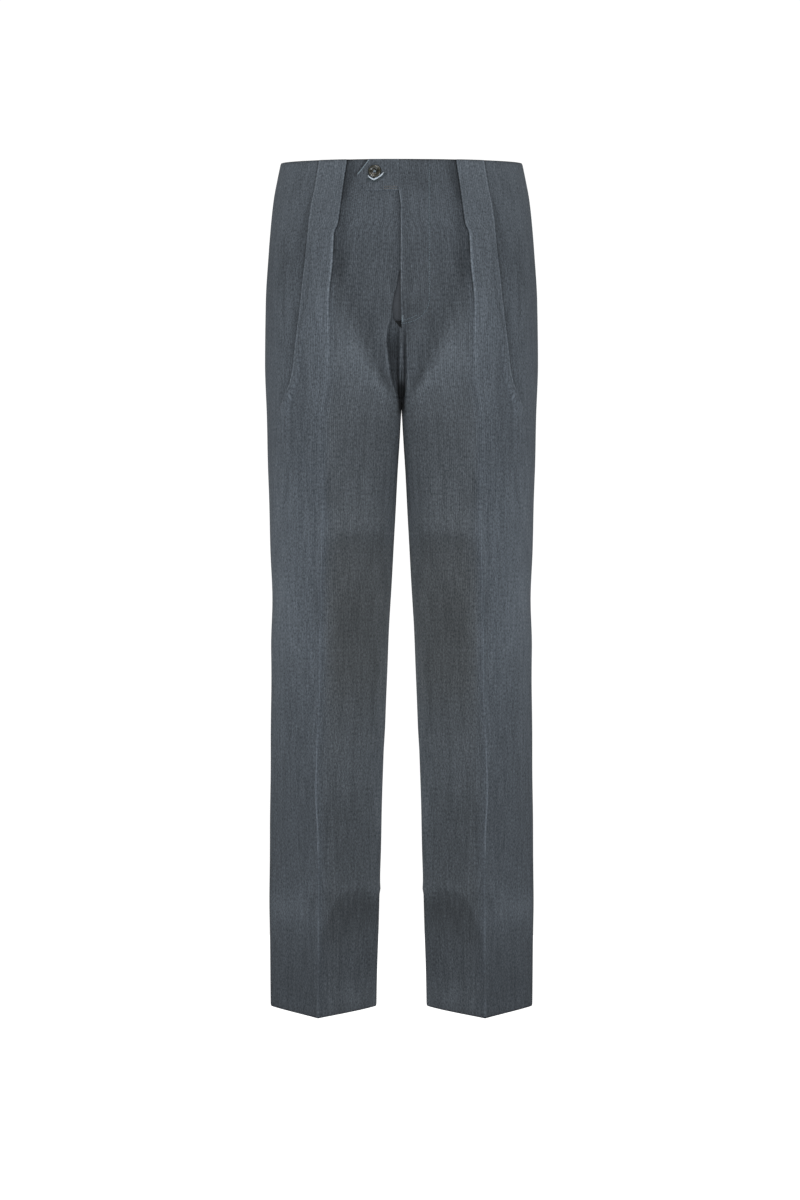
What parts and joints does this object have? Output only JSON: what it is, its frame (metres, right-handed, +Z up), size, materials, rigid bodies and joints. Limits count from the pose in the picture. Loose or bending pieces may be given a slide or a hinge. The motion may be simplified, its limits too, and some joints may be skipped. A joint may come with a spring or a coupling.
{
  "type": "pleated dress trousers",
  "caption": "Straight-leg corduroy dress trousers with box pleats, a fly front and a pointed button tab at the waist, filled out and hollow, with no waistband.",
  "frame": {"origin": "centre of the waist opening, at the height of its edge at the side seams", "axes": "+Z up, from the hems to the waist; +Y from the fly to the seat; +X to the wearer's left"},
  "size_m": [0.3418, 0.2522, 1.0666],
  "materials": {
    "cord": "slate needlecord",
    "shade": "plain dark cotton",
    "horn": "polished dark horn"
  },
  "bodies": {
    "root": {"front_left": "cord", "front_right": "cord", "back_left": "cord", "back_right": "cord", "fly_shield": "shade", "waist_tab": "cord", "button": "horn"}
  },
  "joints": []
}
